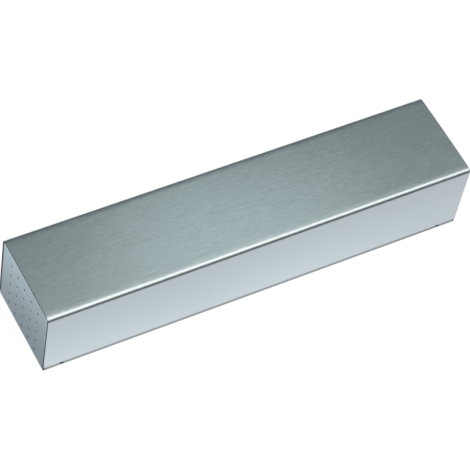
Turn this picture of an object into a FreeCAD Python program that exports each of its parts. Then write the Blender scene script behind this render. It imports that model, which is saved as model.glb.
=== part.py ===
import FreeCAD, Part
import Sketcher
import math
import os
import re

# Overhead door closer: a rack and pinion closer under a folded steel cover.
# The closer lies on its back. X runs along the cover, with the viewed perforated end at -X.
# Y points away from the viewer, to the side where the spindle comes out for the arm.
# Z points out of the door, and z = 0 is the back of the mounting plate, at its centre.
# All sizes are in millimetres.

SIZES = {
    # The folded cover and its end pans
    "cover_length": 285.0,
    "cover_wall": 1.0,
    "cover_bend": 3.0,
    "side_room": 2.0,
    "top_room": 1.6,
    "end_room": 5.5,
    "slot_gap": 0.8,
    "pan_depth": 6.0,
    "pan_wall": 1.0,
    "pan_gap": 0.05,
    "vent_count": 5,
    "vent_hole": 1.3,
    "vent_across": 9.0,
    "vent_rise": 9.1,
    "vent_centre": 0.5,
    "vent_low": 2.3,
    # The mounting plate, its lugs, their clips and its screws
    "plate_thick": 3.0,
    "plate_inset": 1.3,
    "plate_margin": 0.3,
    "notch_edge": 12.5,
    "notch_width": 3.0,
    "notch_depth": 1.4,
    "lug_height": 9.0,
    "lug_wall": 1.2,
    "lug_gap": 0.8,
    "lug_room": 1.0,
    "clip_wall": 0.4,
    "clip_width": 8.0,
    "clip_grip": 6.0,
    "screw_radius": 2.0,
    "screw_length": 10.0,
    "screw_head": 3.6,
    "screw_key": 2.5,
    "screw_socket": 1.4,
    "screw_edge": 22.0,
    "screw_across": 17.0,
    # The cast body
    "bore_radius": 19.0,
    "bore_wall": 5.0,
    "base_width": 44.0,
    "base_height": 12.0,
    "block_reach": 25.0,
    "block_round": 4.0,
    "foot_length": 15.0,
    "foot_thick": 3.5,
    "fixing_radius": 2.75,
    "fixing_across": 9.5,
    "peg_radius": 2.0,
    "peg_length": 3.2,
    # The end plugs
    "plug_step": 1.0,
    "plug_thread": 12.0,
    "plug_nose": 6.0,
    "plug_key": 10.0,
    "plug_socket": 5.0,
    "pin_radius": 2.0,
    "pin_across": 13.0,
    # The gear pair and the swing of the spindle
    "gear_module": 1.5,
    "gear_teeth": 12,
    "gear_angle": 25.0,
    "gear_backlash": 0.2,
    "swing_angle": 180.0,
    # The spindle, its bearings and its caps
    "shaft_step": 0.125,
    "shaft_tail": 0.8,
    "square_size": 10.0,
    "square_length": 10.0,
    "square_ease": 0.1,
    "arm_thread": 2.5,
    "arm_depth": 14.0,
    "bearing_gap": 0.1,
    "bearing_length": 4.9,
    "cap_step": 2.15,
    "cap_thick": 4.0,
    "cap_floor": 2.5,
    "collar_step": 0.6,
    "collar_length": 3.5,
    "collar_wall": 2.2,
    "key_notch": 2.0,
    # The piston and its two ball valves
    "head_gap": 2.23,
    "window_gap": 2.0,
    "window_clear": 1.0,
    "left_head": 18.0,
    "right_head": 14.0,
    "edge_chamfer": 1.0,
    "guide_gap": 0.75,
    "guide_length": 8.0,
    "valve_land": 4.0,
    "check_radius": 2.5,
    "check_port": 1.5,
    "check_travel": 1.5,
    "check_stop": 1.0,
    "relief_radius": 2.0,
    "relief_port": 1.2,
    "relief_length": 8.0,
    "relief_wire": 0.4,
    "relief_turns": 5.0,
    # The closing spring, its seat and its adjuster
    "wire_radius": 2.75,
    "coil_turns": 10.5,
    "coil_room": 1.75,
    "seat_thick": 6.0,
    "thrust_radius": 8.0,
    "thrust_thick": 2.0,
    "adjust_radius": 5.0,
    "adjust_thread": 26.0,
    "adjust_head": 5.0,
    "adjust_key": 8.0,
    # The oil valves and their gallery
    "valve_radius": 3.2,
    "valve_inset": 1.5,
    "valve_depth": 9.5,
    "valve_first": 15.0,
    "valve_step": 14.0,
    "slot_width": 0.8,
    "slot_depth": 1.2,
    "port_radius": 0.8,
    "port_rise": 4.0,
    "gallery_radius": 1.2,
    "gallery_rise": 1.6,
    "gallery_ball": 1.6,
    "gallery_plug": 6.0,
    # Clearances and sealing rings that the pieces share
    "thread_gap": 0.05,
    "running_gap": 0.03,
    "oil_gap": 0.35,
    "loose_gap": 0.5,
    "free_gap": 0.3,
    "side_gap": 0.4,
    "plug_ring": 1.25,
    "small_ring": 0.8,
    "ring_slack": 0.4,
}

# Places and sizes that follow from the ones above.
PLACES = {
    "barrel_radius": "bore_radius + bore_wall",
    "axis_height": "plate_thick + barrel_radius",
    "block_top": "axis_height + barrel_radius",
    "cover_top": "block_top + top_room + cover_wall",
    "bearing_start": "bore_radius + bearing_gap",
    "bearing_end": "bearing_start + bearing_length",
    "half_block": "bearing_end + cap_thick",
    "half_width": "half_block + side_room + cover_wall",
    "half_length": "cover_length / 2",
    "half_barrel": "half_length - end_room - foot_length",
    "nose_place": "half_barrel - plug_thread - plug_nose",
    "fixing_along": "half_barrel + foot_length / 2",
    "screw_along": "half_barrel - screw_edge",
    "notch_place": "half_length - notch_edge",
    "lug_half": "notch_edge - pan_depth - lug_room",
    "lug_face": "half_width - cover_wall - lug_gap",
    "pitch_radius": "gear_module * gear_teeth / 2",
    "tip_radius": "pitch_radius + gear_module",
    "root_radius": "pitch_radius - 1.25 * gear_module",
    "shaft_radius": "root_radius - shaft_step",
    "gear_half": "bearing_start - side_gap",
    "bearing_radius": "tip_radius + oil_gap",
    "cap_radius": "bearing_radius + cap_step",
    "collar_radius": "cap_radius - collar_step",
    "seal_radius": "collar_radius - collar_wall",
    "cap_top": "half_block + collar_length",
    "shaft_start": "bearing_end + shaft_tail",
    "shaft_end": "cap_top + free_gap",
    "piston_travel": "pi * pitch_radius * swing_angle / 180",
    "window_length": "piston_travel + 2 * tip_radius + 2 * window_gap",
    "window_end": "left_head + window_length",
    "piston_length": "window_end + right_head",
    "piston_place": "nose_place - head_gap - piston_length",
    "pinion_place": "piston_place + left_head + window_gap + tip_radius",
    "plug_radius": "bore_radius + plug_step",
    "plug_length": "plug_thread + plug_nose",
    "seat_place": "thrust_thick + loose_gap - nose_place",
    "spring_place": "seat_place + seat_thick",
    "coil_radius": "bore_radius - coil_room - wire_radius",
    "guide_radius": "coil_radius - wire_radius - guide_gap",
    "rod_hole": "adjust_radius + thread_gap",
    "valve_across": "bore_radius - valve_inset",
    "valve_floor": "block_top - valve_depth",
    "gallery_height": "valve_floor + gallery_rise",
}

X_AXIS = FreeCAD.Vector(1, 0, 0)
Y_AXIS = FreeCAD.Vector(0, 1, 0)
Z_AXIS = FreeCAD.Vector(0, 0, 1)
SIDES = (-1, 1)
VALVES = ("latching_valve", "closing_valve", "backcheck_valve")

doc = FreeCAD.newDocument("door_closer")
dims = doc.addObject("Spreadsheet::Sheet", "dims")
for row, (name, size) in enumerate(SIZES.items(), start=1):
    dims.set(f"A{row}", name)
    dims.set(f"B{row}", str(size))
    dims.setAlias(f"B{row}", name)
doc.recompute()

NODES = []


def bound(text):
    """The expression with each place spelt out and each size pointing at its cell in the sheet."""
    def spell(word):
        if word.group() in PLACES:
            return "(" + bound(PLACES[word.group()]) + ")"
        return "dims." + word.group()
    return re.sub(r"[a-z]+(_[a-z]+)+", spell, text)


def value(text):
    """The number that an expression gives now."""
    return float(dims.evalExpression(bound(text)))


def node(thing, label):
    """Marks an object as a sub-part, under the name of its file."""
    thing.Label = label
    NODES.append(thing)
    return thing


def place(thing, x="0", y="0", z="0", axis=None, angle=0):
    """Turns an object about an axis and ties its position to the sheet."""
    if axis is not None:
        thing.Placement = FreeCAD.Placement(FreeCAD.Vector(), FreeCAD.Rotation(axis, angle))
    for letter, text in (("x", x), ("y", y), ("z", z)):
        thing.setExpression(f"Placement.Base.{letter}", bound(text))
    return thing


def group(label, pieces):
    """Identical pieces kept as one node of separate solids."""
    bundle = doc.addObject("Part::Compound", label)
    bundle.Links = pieces
    doc.recompute()
    return node(bundle, label)


# Sketches lie square to an axis of their body. Along X a sketch holds (y, z), along Y it holds
# (x, z) and along Z it holds (x, y). A list of corners is a closed outline, and a tuple is a
# circle: its centre and its radius.

PLANES = {"X": "YZ_Plane", "Y": "XZ_Plane", "Z": "XY_Plane"}


def origin_plane(body, role):
    """The origin plane of a body with this role."""
    for feature in body.Origin.OriginFeatures:
        if feature.Role == role:
            return feature
    raise ValueError(role)


def tie(sketch, kind, index, point, text):
    """Ties one coordinate of a sketch's point to the sheet."""
    number = sketch.addConstraint(Sketcher.Constraint(kind, -1, 1, index, point, 1.0))
    sketch.setExpression(f"Constraints[{number}]", bound(text))


def draw_circle(sketch, across, up, radius):
    """A circle whose centre and radius follow the sheet."""
    middle = FreeCAD.Vector(value(across), value(up), 0)
    index = sketch.addGeometry(Part.Circle(middle, Z_AXIS, value(radius)))
    number = sketch.addConstraint(Sketcher.Constraint("Radius", index, 1.0))
    sketch.setExpression(f"Constraints[{number}]", bound(radius))
    tie(sketch, "DistanceX", index, 3, across)
    tie(sketch, "DistanceY", index, 3, up)


def draw_corners(sketch, corners):
    """A closed outline of straight edges, each corner tied to the sheet."""
    points = [FreeCAD.Vector(value(across), value(up), 0) for across, up in corners]
    count = len(points)
    first = sketch.GeometryCount
    for number in range(count):
        sketch.addGeometry(Part.LineSegment(points[number], points[(number + 1) % count]))
    for number in range(count):
        following = first + (number + 1) % count
        sketch.addConstraint(Sketcher.Constraint("Coincident", first + number, 2, following, 1))
    for number, (across, up) in enumerate(corners):
        tie(sketch, "DistanceX", first + number, 1, across)
        tie(sketch, "DistanceY", first + number, 1, up)


def draw(body, name, plane, level, outlines):
    """A sketch of the outlines on an origin plane of the body, moved along its normal."""
    sketch = body.newObject("Sketcher::SketchObject", name + "_sketch")
    sketch.AttachmentSupport = [(origin_plane(body, plane), "")]
    sketch.MapMode = "FlatFace"
    sketch.setExpression("AttachmentOffset.Base.z", bound(level))
    for outline in outlines:
        if isinstance(outline, tuple):
            draw_circle(sketch, *outline)
        else:
            draw_corners(sketch, outline)
    return sketch


def extrude(body, kind, name, axis, start, end, outlines):
    """A pad, or a pocket, that reaches from the lower to the higher of two places on an axis."""
    if value(start) > value(end):
        start, end = end, start
    adds = kind == "PartDesign::Pad"
    if axis == "Y":
        level = f"-({end})" if adds else f"-({start})"
    else:
        level = start if adds else end
    feature = body.newObject(kind, name)
    feature.Profile = draw(body, name, PLANES[axis], level, outlines)
    feature.setExpression("Length", bound(f"({end}) - ({start})"))
    body.Tip = feature
    doc.recompute()
    return feature


def pad(body, name, axis, start, end, *outlines):
    """Adds metal between two places on an axis."""
    return extrude(body, "PartDesign::Pad", name, axis, start, end, outlines)


def pocket(body, name, axis, start, end, *outlines):
    """Cuts metal away between two places on an axis, and makes sure that some went."""
    before = body.Shape.Volume
    feature = extrude(body, "PartDesign::Pocket", name, axis, start, end, outlines)
    if body.Shape.Volume > before - 0.01:
        raise RuntimeError(name + " cuts nothing")
    return feature


def turned(name, axis, outline):
    """A turned body about an axis through its own origin, from corners of (along, radius)."""
    body = doc.addObject("PartDesign::Body", name)
    plane = "XY_Plane" if axis == "Y" else "XZ_Plane"
    if axis != "X":
        outline = [(radius, along) for along, radius in outline]
    feature = body.newObject("PartDesign::Revolution", name + "_turning")
    sketch = draw(body, name, plane, "0", [outline])
    feature.Profile = sketch
    feature.ReferenceAxis = (sketch, ["H_Axis" if axis == "X" else "V_Axis"])
    feature.Angle = 360
    doc.recompute()
    return body


def edge_names(feature, wanted):
    """The names of a feature's edges for which wanted(edge) holds."""
    edges = enumerate(feature.Shape.Edges, start=1)
    return [f"Edge{number}" for number, edge in edges if wanted(edge)]


def dress(body, kind, name, size_name, size, wanted):
    """A fillet or a chamfer on the chosen edges of the body's last feature."""
    base = body.Tip
    feature = body.newObject(kind, name)
    feature.Base = (base, edge_names(base, wanted))
    feature.setExpression(size_name, bound(size))
    body.Tip = feature
    doc.recompute()
    return feature


def round_edges(body, name, radius, wanted):
    """Rounds the chosen edges of the body's last feature."""
    return dress(body, "PartDesign::Fillet", name, "Radius", radius, wanted)


def runs_along(edge, axis):
    """True for a straight edge parallel to an axis."""
    if not isinstance(edge.Curve, Part.Line):
        return False
    return abs(abs(edge.tangentAt(edge.FirstParameter).dot(axis)) - 1) < 1e-6


def near(number, text):
    """True if a measured number is the size that an expression gives."""
    return abs(number - value(text)) < 1e-4


def rectangle(low_across, high_across, low_up, high_up):
    """The four corners of a rectangle in a sketch."""
    return [(low_across, low_up), (high_across, low_up), (high_across, high_up), (low_across, high_up)]


def hexagon(across_flats):
    """The six corners of a hexagon about its sketch's origin."""
    reach = f"{across_flats} / sqrt(3)"
    turns = [60 * number + 30 for number in range(6)]
    return [(f"{reach} * cos({turn})", f"{reach} * sin({turn})") for turn in turns]


def four_circles(along, across, radius):
    """Four circles at the corners of a rectangle about the sketch's origin."""
    return [(f"{x} * {along}", f"{y} * {across}", radius) for x in SIDES for y in SIDES]


# Mounting plate: sheet steel with four lugs turned up inside the cover's long walls, four
# countersunk holes for the screws into the casting, and four fixing holes to the door. By each
# lug a small notch in the long edge lets a blade reach the cover's rim to spring it off.

def make_mounting_plate():
    body = doc.addObject("PartDesign::Body", "plate")
    sheet = rectangle("plate_inset - half_length", "half_length - plate_inset",
                      "plate_margin - half_width", "half_width - plate_margin")
    pad(body, "plate_sheet", "Z", "0", "plate_thick", sheet)
    for side_x in SIDES:
        for side_y in SIDES:
            lug = rectangle(f"{side_x} * notch_place - lug_half", f"{side_x} * notch_place + lug_half",
                            f"{side_y} * lug_face", f"{side_y} * (lug_face - lug_wall)")
            pad(body, "plate_lug", "Z", "plate_thick", "plate_thick + lug_height", lug)
    notches = [rectangle(f"{side_x} * notch_place - notch_width / 2", f"{side_x} * notch_place + notch_width / 2",
                         f"{side_y} * (half_width - plate_margin - notch_depth)", f"{side_y} * half_width")
               for side_x in SIDES for side_y in SIDES]
    pocket(body, "plate_notches", "Z", "-1", "plate_thick + 1", *notches)
    pocket(body, "plate_holes", "Z", "-1", "plate_thick + 1",
           *four_circles("fixing_along", "fixing_across", "fixing_radius"),
           *four_circles("screw_along", "screw_across", "screw_radius + free_gap"))
    dress(body, "PartDesign::Chamfer", "plate_sinks", "Size", "screw_head - screw_radius",
          lambda edge: isinstance(edge.Curve, Part.Circle) and near(edge.CenterOfMass.z, "0")
          and near(edge.Curve.Radius, "screw_radius + free_gap"))
    return node(body, "mounting_plate")


def make_plate_screws():
    """Countersunk screws that hold the casting, entered from the back of the plate."""
    screws = []
    for side_x in SIDES:
        for side_y in SIDES:
            body = turned("plate_screw", "Z", [
                ("0", "0"), ("0", "screw_head"), ("screw_head - screw_radius", "screw_radius"),
                ("screw_length", "screw_radius"), ("screw_length", "0")])
            pocket(body, "screw_recess", "Z", "-1", "screw_socket", hexagon("screw_key"))
            place(body, f"{side_x} * screw_along", f"{side_y} * screw_across", "free_gap")
            screws.append(body)
    return group("plate_screws", screws)


def make_cover_clips():
    """Spring steel clips, pushed over the plate's lugs, that grip the inside of the cover."""
    clips = []
    lug_top = "plate_thick + lug_height"
    low = f"{lug_top} - clip_grip"
    outer, inner = "lug_face + clip_wall", "lug_face - lug_wall - clip_wall"
    section = [
        (outer, low), (outer, f"{lug_top} + clip_wall"), (inner, f"{lug_top} + clip_wall"),
        (inner, low), ("lug_face - lug_wall", low), ("lug_face - lug_wall", lug_top),
        ("lug_face", lug_top), ("lug_face", low)]
    for side_x in SIDES:
        for side_y in SIDES:
            body = doc.addObject("PartDesign::Body", "cover_clip")
            pad(body, "clip_fold", "X", "-clip_width / 2", "clip_width / 2",
                [(f"{side_y} * ({across})", up) for across, up in section])
            place(body, f"{side_x} * notch_place")
            clips.append(body)
    return group("cover_clips", clips)


# Closer body: an aluminium casting with one long bore for the piston and the spring, a square
# block round the spindle and the oil valves, and a foot at each end.

def valve_along(number):
    """The place along X of one of the three oil valves."""
    return f"pinion_place + valve_first + {number} * valve_step"


def cast_body():
    """The casting as it leaves the mould, before its holes are bored."""
    body = doc.addObject("PartDesign::Body", "casting")
    pad(body, "block", "Z", "plate_thick", "block_top",
        rectangle("pinion_place - block_reach", "half_barrel", "-half_block", "half_block"))
    round_edges(body, "block_corners", "block_round", lambda edge: runs_along(edge, Z_AXIS))
    round_edges(body, "block_rim", "block_round / 2", lambda edge: near(edge.BoundBox.ZMin, "block_top"))
    pad(body, "barrel", "X", "-half_barrel", "half_barrel", ("0", "axis_height", "barrel_radius"))
    pad(body, "barrel_base", "X", "-half_barrel", "half_barrel",
        rectangle("-base_width / 2", "base_width / 2", "plate_thick", "plate_thick + base_height"))
    for side in SIDES:
        foot = rectangle(f"{side} * (half_barrel - block_round)", f"{side} * (half_barrel + foot_length)",
                         "-base_width / 2", "base_width / 2")
        pad(body, "foot", "Z", "plate_thick", "plate_thick + foot_thick", foot)
    round_edges(body, "foot_corners", "block_round",
                lambda edge: runs_along(edge, Z_AXIS)
                and near(abs(edge.CenterOfMass.x), "half_barrel + foot_length"))
    return body


def make_closer_body():
    body = cast_body()
    pocket(body, "bore", "X", "-half_barrel - 1", "half_barrel + 1", ("0", "axis_height", "bore_radius"))
    for side in SIDES:
        pocket(body, "plug_hole", "X", f"{side} * (half_barrel - plug_thread)",
               f"{side} * (half_barrel + 1)", ("0", "axis_height", "plug_radius + thread_gap"))
    pocket(body, "bearing_hole", "Y", "-bearing_end", "bearing_end",
           ("pinion_place", "axis_height", "bearing_radius"))
    for side in SIDES:
        pocket(body, "cap_hole", "Y", f"{side} * bearing_end", f"{side} * (half_block + 1)",
               ("pinion_place", "axis_height", "cap_radius + thread_gap"))

    places = [valve_along(number) for number in range(len(VALVES))]
    pocket(body, "valve_holes", "Z", "valve_floor", "block_top + 1",
           *[(along, "-valve_across", "valve_radius + thread_gap") for along in places])
    pocket(body, "valve_ports", "Z", "axis_height + port_rise", "valve_floor + 1",
           *[(along, "-valve_across", "port_radius") for along in places])
    pocket(body, "gallery", "X", places[0], "half_barrel + 1",
           ("-valve_across", "gallery_height", "gallery_radius"))
    pocket(body, "gallery_mouth", "X", "half_barrel - gallery_plug", "half_barrel + 1",
           ("-valve_across", "gallery_height", "gallery_ball + running_gap"))

    pocket(body, "fixing_holes", "Z", "plate_thick - 1", "plate_thick + foot_thick + 1",
           *four_circles("fixing_along", "fixing_across", "fixing_radius"))
    pocket(body, "screw_holes", "Z", "plate_thick - 1", "screw_length + 2 * free_gap",
           *four_circles("screw_along", "screw_across", "screw_radius + running_gap"))
    pocket(body, "peg_hole", "Y", "half_block - peg_length - free_gap", "half_block + 1",
           ("pinion_place", "plate_thick + base_height / 2", "peg_radius + thread_gap"))
    return node(body, "closer_body")


def make_slot_insert():
    """A moulded tongue that fills the cover's slot below the collar, on a peg in the casting."""
    body = doc.addObject("PartDesign::Body", "tongue")
    half = "(collar_radius + slot_gap - free_gap)"
    tongue = rectangle(f"pinion_place - {half}", f"pinion_place + {half}",
                       "plate_thick", "axis_height - collar_radius + slot_gap")
    pad(body, "tongue_plate", "Y", "half_block", "half_width - thread_gap", tongue)
    pad(body, "tongue_peg", "Y", "half_block - peg_length", "half_block",
        ("pinion_place", "plate_thick + base_height / 2", "peg_radius"))
    pocket(body, "tongue_relief", "Y", "half_block - 1", "half_width + 1",
           ("pinion_place", "axis_height", "collar_radius + thread_gap"))
    return node(body, "slot_insert")


def make_ring(label, ring_radius, wire, axis, x, y, z):
    """A rubber sealing ring about an axis."""
    ring = doc.addObject("Part::Torus", label)
    ring.setExpression("Radius1", bound(ring_radius))
    ring.setExpression("Radius2", bound(wire))
    turn = {"X": (Y_AXIS, 90), "Y": (X_AXIS, 90), "Z": (None, 0)}[axis]
    place(ring, x, y, z, *turn)
    return node(ring, label)


def make_ball(label, radius, x, y, z):
    """A steel ball."""
    ball = doc.addObject("Part::Sphere", label)
    ball.setExpression("Radius", bound(radius))
    place(ball, x, y, z)
    return node(ball, label)


def make_gallery_ball():
    """The ball pressed into the mouth of the drilled oil gallery to close it."""
    return make_ball("gallery_ball", "gallery_ball", "half_barrel - gallery_plug + gallery_ball",
                     "-valve_across", "gallery_height")


# End plugs: turned steel plugs screwed into the ends of the bore. Each has a nose that carries
# its sealing ring, and two blind holes for a pin key. The left one lets the adjuster through.

PLACES["nose_ring"] = "plug_thread + plug_nose / 2"
PLACES["nose_ring_radius"] = "bore_radius - plug_ring - running_gap"
PLACES["nose_groove"] = "nose_ring_radius - plug_ring"
PLACES["nose_half"] = "plug_ring + ring_slack / 2"
PLACES["nose_radius"] = "bore_radius - 2 * thread_gap"
PLACES["rod_ring"] = "plug_thread / 2"
PLACES["rod_half"] = "small_ring + ring_slack / 2"
PLACES["rod_groove"] = "rod_hole + 2 * small_ring"


def turned_plug(name, bottom, inside):
    """A plug along X from its outer face, closed by the corners of its inside."""
    body = turned(name, "X", [
        ("0", bottom), ("0", "plug_radius"), ("plug_thread", "plug_radius"),
        ("plug_thread", "nose_radius"), ("nose_ring - nose_half", "nose_radius"),
        ("nose_ring - nose_half", "nose_groove"), ("nose_ring + nose_half", "nose_groove"),
        ("nose_ring + nose_half", "nose_radius"), ("plug_length", "nose_radius"),
        ("plug_length", bottom)] + inside)
    pocket(body, name + "_key_holes", "X", "-1", "plug_socket",
           ("pin_across", "0", "pin_radius"), ("-pin_across", "0", "pin_radius"))
    return body


def make_left_plug():
    body = turned_plug("drilled_plug", "rod_hole", [
        ("rod_ring + rod_half", "rod_hole"), ("rod_ring + rod_half", "rod_groove"),
        ("rod_ring - rod_half", "rod_groove"), ("rod_ring - rod_half", "rod_hole")])
    place(body, "-half_barrel", "0", "axis_height")
    return node(body, "left_plug")


def make_right_plug():
    body = turned_plug("blind_plug", "0", [])
    pocket(body, "plug_recess", "X", "-1", "plug_socket", hexagon("plug_key"))
    place(body, "half_barrel", "0", "axis_height", Z_AXIS, 180)
    return node(body, "right_plug")


def make_plug_seals():
    for label, side in (("left_plug_seal", -1), ("right_plug_seal", 1)):
        make_ring(label, "nose_ring_radius", "plug_ring", "X",
                  f"{side} * (half_barrel - nose_ring)", "0", "axis_height")
    make_ring("adjuster_seal", "rod_hole + small_ring", "small_ring", "X",
              "rod_ring - half_barrel", "0", "axis_height")


# Spindle: a hardened steel pinion cut in one piece with its shaft. The upper end is a square
# for the arm, with a tapped hole for the arm's screw.

def involute_angle(radius, base_radius):
    """The involute function at a radius outside the base circle."""
    slope = math.acos(min(1.0, base_radius / radius))
    return math.tan(slope) - slope


def pinion_outline():
    """The closed outline of the gear in X and Z, with one tooth pointing along +Z."""
    pitch, tip, root = value("pitch_radius"), value("tip_radius"), value("root_radius")
    base = pitch * math.cos(math.radians(value("gear_angle")))
    start = max(base, root)
    thickness = math.pi * value("gear_module") / 2 - value("gear_backlash") / 2
    half = thickness / 2 / pitch + involute_angle(pitch, base)
    steps = 6
    radii = [start + (tip - start) * number / steps for number in range(steps + 1)]
    flank = [(radius, half - involute_angle(radius, base)) for radius in radii]
    if root < start:
        flank.insert(0, (root, half - involute_angle(start, base)))
    teeth = round(value("gear_teeth"))
    corners = []
    for tooth in range(teeth):
        middle = 2 * math.pi * tooth / teeth
        corners += [(radius, middle - angle) for radius, angle in flank]
        corners += [(radius, middle + angle) for radius, angle in reversed(flank)]
    points = [FreeCAD.Vector(radius * math.sin(angle), 0, radius * math.cos(angle))
              for radius, angle in corners]
    return points + points[:1]


def cylinder_up(name, radius, start, length):
    """A cylinder along Y from a place on it."""
    cylinder = doc.addObject("Part::Cylinder", name)
    cylinder.setExpression("Radius", bound(radius))
    cylinder.setExpression("Height", bound(length))
    return place(cylinder, "0", start, "0", X_AXIS, -90)


def make_pinion_spindle():
    face = Part.Face(Part.makePolygon(pinion_outline()))
    teeth = doc.addObject("Part::Feature", "pinion_teeth")
    teeth.Shape = face.extrude(Y_AXIS * 2 * value("gear_half"))
    place(teeth, "0", "-gear_half")
    shaft = cylinder_up("spindle_shaft", "shaft_radius", "-shaft_start", "shaft_end + shaft_start")

    bar = doc.addObject("Part::Box", "spindle_bar")
    bar.setExpression("Length", bound("square_size"))
    bar.setExpression("Width", bound("square_size"))
    bar.setExpression("Height", bound("square_length"))
    place(bar, "-square_size / 2", "shaft_end", "square_size / 2", X_AXIS, -90)
    square = doc.addObject("Part::Common", "spindle_square")
    square.Base = bar
    square.Tool = cylinder_up("spindle_round_bar", "shaft_radius - square_ease", "shaft_end", "square_length")

    solid = doc.addObject("Part::MultiFuse", "spindle_solid")
    solid.Shapes = [teeth, shaft, square]
    spindle = doc.addObject("Part::Cut", "spindle")
    spindle.Base = solid
    spindle.Tool = cylinder_up("spindle_drill", "arm_thread", "shaft_end + square_length - arm_depth",
                               "arm_depth + 1")
    place(spindle, "pinion_place", "0", "axis_height")
    doc.recompute()
    return node(spindle, "pinion_spindle")


def make_bearing(label, side):
    """A bronze bush pressed in beside the gear."""
    body = turned(label + "_bush", "Y", [
        (f"{side} * bearing_start", "shaft_radius + running_gap"),
        (f"{side} * bearing_start", "bearing_radius - running_gap"),
        (f"{side} * bearing_end", "bearing_radius - running_gap"),
        (f"{side} * bearing_end", "shaft_radius + running_gap")])
    place(body, "pinion_place", "0", "axis_height")
    return node(body, label)


# Spindle caps: threaded discs that close the block round the spindle. The upper cap's collar
# stands out through the cover's slot and holds the lip seal, and the lower cap is blind.

PLACES["cap_ring"] = "bearing_end + cap_thick / 2"
PLACES["cap_half"] = "small_ring + ring_slack / 2"
PLACES["cap_ring_radius"] = "cap_radius + thread_gap - small_ring - running_gap"
PLACES["cap_groove"] = "cap_ring_radius - small_ring"
PLACES["lip_hole"] = "shaft_radius + 1"
PLACES["lip_radius"] = "shaft_radius + running_gap"
PLACES["pocket_floor"] = "bearing_end + cap_floor"


def cap_edge(side):
    """A cap's threaded edge from inside outwards, with the groove of its sealing ring."""
    return [
        (f"{side} * bearing_end", "cap_radius"), (f"{side} * (cap_ring - cap_half)", "cap_radius"),
        (f"{side} * (cap_ring - cap_half)", "cap_groove"), (f"{side} * (cap_ring + cap_half)", "cap_groove"),
        (f"{side} * (cap_ring + cap_half)", "cap_radius"), (f"{side} * half_block", "cap_radius")]


def make_upper_cap():
    body = turned("upper_disc", "Y", [
        ("bearing_end", "lip_hole"), *cap_edge(1), ("half_block", "collar_radius"),
        ("cap_top", "collar_radius"), ("cap_top", "seal_radius"), ("pocket_floor", "seal_radius"),
        ("pocket_floor", "lip_hole")])
    notches = [rectangle(f"{side} * collar_radius - key_notch / 2", f"{side} * collar_radius + key_notch / 2",
                         "-key_notch / 2", "key_notch / 2") for side in SIDES]
    pocket(body, "key_notches", "Y", "cap_top - collar_length / 2", "cap_top + 1", *notches)
    place(body, "pinion_place", "0", "axis_height")
    return node(body, "upper_cap")


def make_lower_cap():
    body = turned("lower_disc", "Y", [
        ("-shaft_start - free_gap", "0"), ("-shaft_start - free_gap", "lip_hole"),
        ("-bearing_end", "lip_hole"), *cap_edge(-1), ("-half_block", "0")])
    pocket(body, "lower_key_holes", "Y", "-half_block - 1", "cap_floor / 2 - half_block",
           ("seal_radius - pin_radius", "0", "pin_radius"), ("pin_radius - seal_radius", "0", "pin_radius"))
    place(body, "pinion_place", "0", "axis_height")
    return node(body, "lower_cap")


def make_cap_seals():
    for label, side in (("upper_cap_seal", 1), ("lower_cap_seal", -1)):
        make_ring(label, "cap_ring_radius", "small_ring", "Y",
                  "pinion_place", f"{side} * cap_ring", "axis_height")


def make_spindle_seal():
    """A rubber lip seal in the upper cap's pocket, with its lips running on the shaft."""
    bottom, top = "pocket_floor + thread_gap", "cap_top - thread_gap"
    body = turned("lip_ring", "Y", [
        (bottom, "seal_radius - running_gap"), (top, "seal_radius - running_gap"),
        (top, "lip_radius"), (f"{top} - 0.8", "lip_radius"), (f"{top} - 1.2", "lip_radius + 1.2"),
        (f"{bottom} + 1.4", "lip_radius + 1.2"), (f"{bottom} + 1", "lip_radius"),
        (f"{bottom} + 0.4", "lip_radius"), (bottom, "lip_radius + 0.5")])
    place(body, "pinion_place", "0", "axis_height")
    return node(body, "spindle_seal")


# Piston: ground steel with a window right through it. The rack's teeth are cut in the window's
# upper side, the left head takes the spring, and each head holds a ball valve.

PLACES["check_seat"] = "window_end + valve_land"
PLACES["check_chamber"] = "check_radius + oil_gap"
PLACES["check_ball"] = ("check_seat + thread_gap"
                        " + sqrt(check_radius * check_radius - check_port * check_port)")
PLACES["check_ring"] = "check_ball + check_radius + check_travel + thread_gap"
PLACES["relief_seat"] = "left_head - valve_land"
PLACES["relief_chamber"] = "relief_radius + oil_gap"
PLACES["relief_ball"] = ("relief_seat - thread_gap"
                         " - sqrt(relief_radius * relief_radius - relief_port * relief_port)")
PLACES["relief_end"] = "relief_ball - relief_radius - relief_length"


def rack_corners():
    """The window's corners, with the rack's spaces in its upper side, from right to left."""
    axle = "(tip_radius + window_gap + left_head)"
    half = "(pi * gear_module / 4 + gear_backlash / 4)"
    wide = f"({half} + gear_module * tan(gear_angle))"
    narrow = f"({half} - 1.25 * gear_module * tan(gear_angle))"
    tips, roots = "pitch_radius - gear_module", "pitch_radius + 1.25 * gear_module"
    step = value("pi * gear_module")
    last = int(value(f"window_end - {axle} - {wide}") / step)
    first = -int(value(f"{axle} - left_head - {wide}") / step)
    corners = [("left_head", "-tip_radius - window_clear"), ("window_end", "-tip_radius - window_clear"),
               ("window_end", tips)]
    for number in range(last, first - 1, -1):
        middle = f"{axle} + {number} * pi * gear_module"
        corners += [(f"{middle} + {wide}", tips), (f"{middle} + {narrow}", roots),
                    (f"{middle} - {narrow}", roots), (f"{middle} - {wide}", tips)]
    return corners + [("left_head", tips)]


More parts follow.
